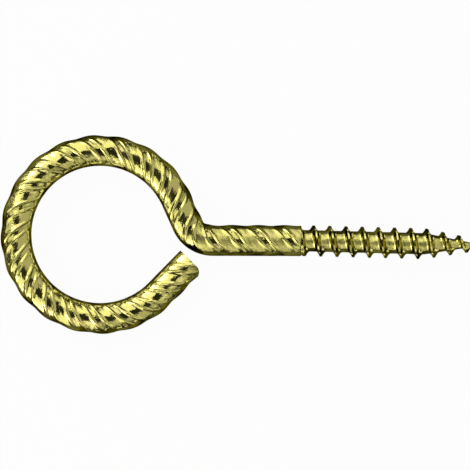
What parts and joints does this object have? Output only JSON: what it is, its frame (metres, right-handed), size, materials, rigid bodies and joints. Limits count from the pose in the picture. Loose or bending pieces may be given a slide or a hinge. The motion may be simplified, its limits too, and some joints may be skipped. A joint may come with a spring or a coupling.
{
  "type": "screw eye",
  "caption": "Brass-plated screw eye: grooved round wire bent into a nearly closed ring, with a straight shank, wood-screw thread and pointed tip.",
  "frame": {"origin": "centre of the eye, in the mid-plane of the wire", "axes": "+X from the eye along the thread to its point, +Z square to the plane of the eye, +Y across the eye towards the side where the neck leaves it"},
  "size_m": [0.0466, 0.0192, 0.003],
  "materials": {
    "brass": "bright brass plate on steel wire, polished lands and slightly darker grooves"
  },
  "bodies": {
    "root": {"screw_eye": "brass"}
  },
  "joints": []
}
